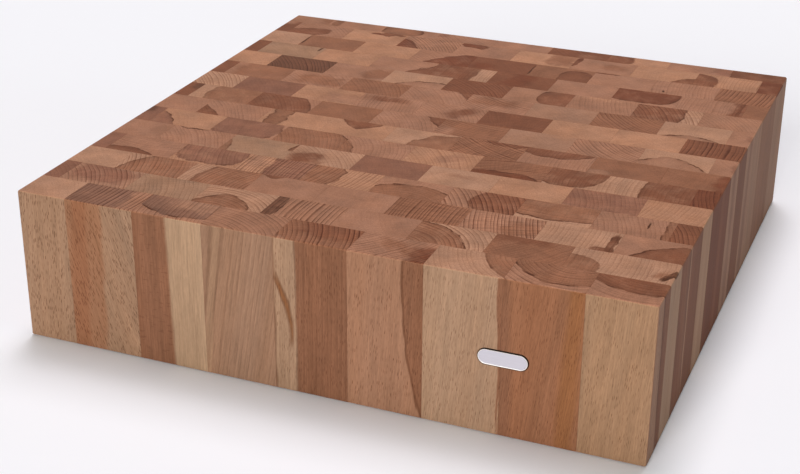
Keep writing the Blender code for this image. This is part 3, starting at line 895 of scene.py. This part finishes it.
# the darkest and the palest of each finish, and what its pattern is made from
badgeLook = {
    "field": ("CAC7CF", "DCD8DF"),
    # rim: the raised rim is painted paler than the field, a painted highlight
    "rim": ("F0E8DE", "F8F2EA"),
    # edge: the painted shadow on the plate's rolled edge
    "edge": ("2A211D", "3B302B"),
    "grit": 0.4 * mm,                   # coarser than real grit, so that it shows
    "edgeRoughness": 0.8,
    "edgeSpecular": 0.03,
    # level streaks, coarser than real brushing so that they show
    "streakSize": (16.667 * mm, 16.667 * mm, 0.2 * mm),
    "roughness": (0.30, 0.46),
    "metallic": 0.85,
    "relief": (0.01 * mm, 0.5),         # its depth and strength
}


def pillOutline(length, height, steps):
    # points round a pill in the x-z plane, from its middle
    radius = height / 2
    points = []
    for sideSign in (1, -1):
        for step in range(steps + 1):
            angle = math.radians(-90 + 180 * step / steps)
            points.append((sideSign * ((length - height) / 2 + radius * math.cos(angle)),
                           sideSign * radius * math.sin(angle)))
    return points


def pillSolid(name, centre, rings):
    # lofts pill outlines, given as (inset, y), into one closed solid
    mesh = bpy.data.meshes.new(name)
    work = bmesh.new()
    loops = []
    for inset, y in rings:
        length, height = badgeShape["length"] - 2 * inset, badgeShape["height"] - 2 * inset
        outline = pillOutline(length, height, badgeShape["steps"])
        loops.append([work.verts.new((centre.x + x, y, centre.z + z)) for x, z in outline])
    for loop, following in zip(loops, loops[1:]):
        for i in range(len(loop)):
            j = (i + 1) % len(loop)
            work.faces.new((loop[i], loop[j], following[j], following[i]))
    work.faces.new(loops[0])
    work.faces.new(loops[-1])
    bmesh.ops.recalc_face_normals(work, faces=work.faces)
    work.to_mesh(mesh)
    work.free()
    return newObject(name, mesh)


def makeBadge():
    front, back = (corner.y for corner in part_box("badge_plate"))
    rimRound, rimWidth, rimSteps, fieldDepth, backEdge = (
        badgeShape[name] for name in ("rimRound", "rimWidth", "rimSteps", "fieldDepth", "backEdge"))
    rings = [(backEdge, back), (0, back - backEdge)]
    for step in range(rimSteps + 1):
        angle = math.radians(90 * step / rimSteps)
        rings.append((rimRound * (1 - math.cos(angle)), front + rimRound * (1 - math.sin(angle))))
    rings += [(rimWidth + inset, front + depth) for inset, depth in (
        *badgeShape["rimSlope"], (0, fieldDepth), (badgeShape["fieldEdge"], fieldDepth))]
    badge = pillSolid("blank_badge", centreOf("badge_plate"), rings)
    for polygon in badge.data.polygons:
        polygon.use_smooth = True
    badge.data.set_sharp_from_angle(angle=math.radians(badgeShape["sharpAngle"]))
    # the field and the back are satin, the outer edge is painted dark as shadow, and the raised rim is
    # painted bright as a highlight
    badge.data.materials.append(makeAluminium("satinAnodisedAluminium", *badgeLook["field"]))
    badge.data.materials.append(makePaintedShadowEdge())
    badge.data.materials.append(makeAluminium("paintedHighlightRim", *badgeLook["rim"]))
    facesRound = 2 * (badgeShape["steps"] + 1)
    for polygon in badge.data.polygons:
        strip = polygon.index // facesRound
        polygon.material_index = 1 if strip < rimSteps + 2 else 2 if strip < rimSteps + 4 else 0
    return badge


def makePaintedShadowEdge():
    # painted shadow: the same aluminium, painted dark and satin where the plate's edge rolls over
    material, add = newMaterial("paintedShadowEdge")
    place = add("TexCoord").outputs["Object"]
    grit = add("TexNoise", {"Vector": place, "Scale": 1 / badgeLook["grit"], "Detail": 2.0})
    colour = add("Mix", {
        "Factor": grit, 6: (*toLinear(badgeLook["edge"][0]), 1), 7: (*toLinear(badgeLook["edge"][1]), 1)},
        data_type="RGBA")
    shader = add("BsdfPrincipled", {
        "Base Color": colour, "Roughness": badgeLook["edgeRoughness"],
        "Specular IOR Level": badgeLook["edgeSpecular"]})
    add("OutputMaterial", {"Surface": shader})
    return material


def makeAluminium(name, low, high):
    # anodised aluminium, brushed along its length: pale with fine level streaks
    material, add = newMaterial(name)
    place = add("TexCoord").outputs["Object"]
    brushed = add("VectorMath", [place, badgeLook["streakSize"]], "DIVIDE")
    streaks = add("TexNoise", {"Vector": brushed, "Scale": 1.0, "Detail": 3.0})
    colour = add("Mix", {
        "Factor": streaks, 6: (*toLinear(low), 1), 7: (*toLinear(high), 1)}, data_type="RGBA")
    roughness = add("MapRange", [streaks, 0.0, 1.0, *badgeLook["roughness"]])
    bump = add("Bump", {
        "Height": streaks, "Distance": badgeLook["relief"][0], "Strength": badgeLook["relief"][1]})
    shader = add("BsdfPrincipled", {
        "Base Color": colour, "Metallic": badgeLook["metallic"], "Roughness": roughness, "Normal": bump})
    add("OutputMaterial", {"Surface": shader})
    return material


def cutBadgePocket(piece):
    # the pocket that the badge is let into, routed across two staves
    gap = badgeShape["pocketGap"]
    ends = blockLow.y - badgeShape["cutterReach"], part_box("badge_plate")[1].y + gap
    cutter = pillSolid("pocketCutter", centreOf("badge_plate"), [(-gap, end) for end in ends])
    cut = piece.modifiers.new("pocket", "BOOLEAN")
    cut.operation = "DIFFERENCE"
    cut.object = cutter
    cut.solver = "EXACT"
    plainMesh(piece)
    bpy.data.objects.remove(cutter)


# The block
beech = makeBeech()
staveTree = makeStaveTree(beech)
runs = [(f"front_stave_{i + 1}", 1, i, 1, True) for i in range(9)]
for row in range(2, 15):
    inner = len(staveRows[row]) - 2
    runs += [(f"row_{row:02d}_left_stave", row, 0, 1, True),
             (f"row_{row:02d}_middle_staves", row, 1, inner, False),
             (f"row_{row:02d}_right_stave", row, inner + 1, 1, True)]
runs += [(f"back_stave_{i + 1}", 15, i, 1, True) for i in range(9)]
for node, row, firstNumber, count, outer in runs:
    piece, numbers, looks = makeStaves(node, row, firstNumber, count, outer, staveTree, beech)
    if node in ("front_stave_7", "front_stave_8"):
        cutBadgePocket(piece)
        numbers = np.zeros(len(piece.data.vertices), np.int32)
    paintStaves(piece, numbers, looks)
    smoothEdges(piece)
    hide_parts(node)
    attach(piece, "root")
print("staves made:", sum(run[3] for run in runs), "in", len(runs), "pieces")

badge = makeBadge()
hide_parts("badge_plate")
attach(badge, "root")
print("badge made")


# The floor, the light and the camera
studio = {
    "backdrop": "F6F5FA",
    "floorColour": "F6F5FA",
    "floorReach": 9,          # metres each way
    "floorGap": 0.3 * mm,     # below the block
    "skyColour": "FCFCE8",
    "skyStrength": 0.14,
}

# wide soft lamps: (colour, strength, spread in degrees, direction they shine from)
studioLamps = {
    "overhead": ("FFFCFF", 1.03, 26, (-0.09, 0.18, 1.0)),
    "overheadBehind": ("FFFCFF", 1.12, 26, (-0.09, 0.45, 1.0)),
    "frontKey": ("FBFFFD", 1.81, 24, (-0.04, -0.928, 0.371)),
    "coolSide": ("CCEDFA", 0.545, 30, (0.98, -0.10, 0.15)),
}


def makeStudio():
    floorMesh = bpy.data.meshes.new("studioFloor")
    reach = studio["floorReach"]
    floorMesh.from_pydata([(x * reach, y * reach, 0) for x, y in ((-1, -1), (1, -1), (1, 1), (-1, 1))],
                          [], [(0, 1, 2, 3)])
    floor = newObject("studioFloor", floorMesh)
    floor.location.z = blockLow.z - studio["floorGap"]
    # matt paper roll
    paper, add = newMaterial("paleStudioPaper")
    shader = add("BsdfPrincipled", {
        "Base Color": (*toLinear(studio["floorColour"]), 1), "Roughness": 1.0, "Specular IOR Level": 0.0})
    add("OutputMaterial", {"Surface": shader})
    floorMesh.materials.append(paper)

    for name, (colour, strength, spread, shinesFrom) in studioLamps.items():
        lamp = newObject(name, bpy.data.lights.new(name, "SUN"))
        lamp.data.energy = strength
        lamp.data.angle = math.radians(spread)
        lamp.data.color = toLinear(colour)
        lamp.rotation_euler = Vector(shinesFrom).to_track_quat("Z", "Y").to_euler()

    world = bpy.data.worlds.new("paleStudio")
    world.use_nodes = True
    world.node_tree.nodes.clear()
    add = partial(addNode, world.node_tree)
    path = add("LightPath").outputs
    seen = add("Math", [path["Is Camera Ray"], path["Is Glossy Ray"]], "ADD")
    seen = add("Math", [seen, path["Is Transmission Ray"]], "MAXIMUM")
    sky = add("Background", {"Color": (*toLinear(studio["skyColour"]), 1), "Strength": studio["skyStrength"]})
    backdrop = add("Background", {"Color": (*toLinear(studio["backdrop"]), 1), "Strength": 1.0})
    mixed = add("MixShader", [seen, sky, backdrop])
    add("OutputWorld", {"Surface": mixed})
    scene.world = world


view = {
    "place": (0.34552, -0.92651, 0.47776),
    "forward": (-0.33886, 0.84130, -0.42118),
    "roll": 0.36,        # degrees
    "lens": 70.30,       # mm
    "film": 36,          # mm wide
    "clip": (0.01, 50),
}


def makeCamera():
    camera = newObject("camera", bpy.data.cameras.new("camera"))
    forward = Vector(view["forward"]).normalized()
    right = forward.cross(Vector((0, 0, 1))).normalized()
    up = right.cross(forward)
    roll = math.radians(view["roll"])
    rightRolled = right * math.cos(roll) + up * math.sin(roll)
    upRolled = rightRolled.cross(forward)
    turn = Matrix((rightRolled, upRolled, -forward)).transposed().to_4x4()
    camera.matrix_world = Matrix.Translation(view["place"]) @ turn
    camera.data.lens = view["lens"]
    camera.data.sensor_width = view["film"]
    camera.data.clip_start, camera.data.clip_end = view["clip"]
    scene.camera = camera


makeStudio()
makeCamera()
scene.view_settings.view_transform = "Standard"
print("studio and camera made")
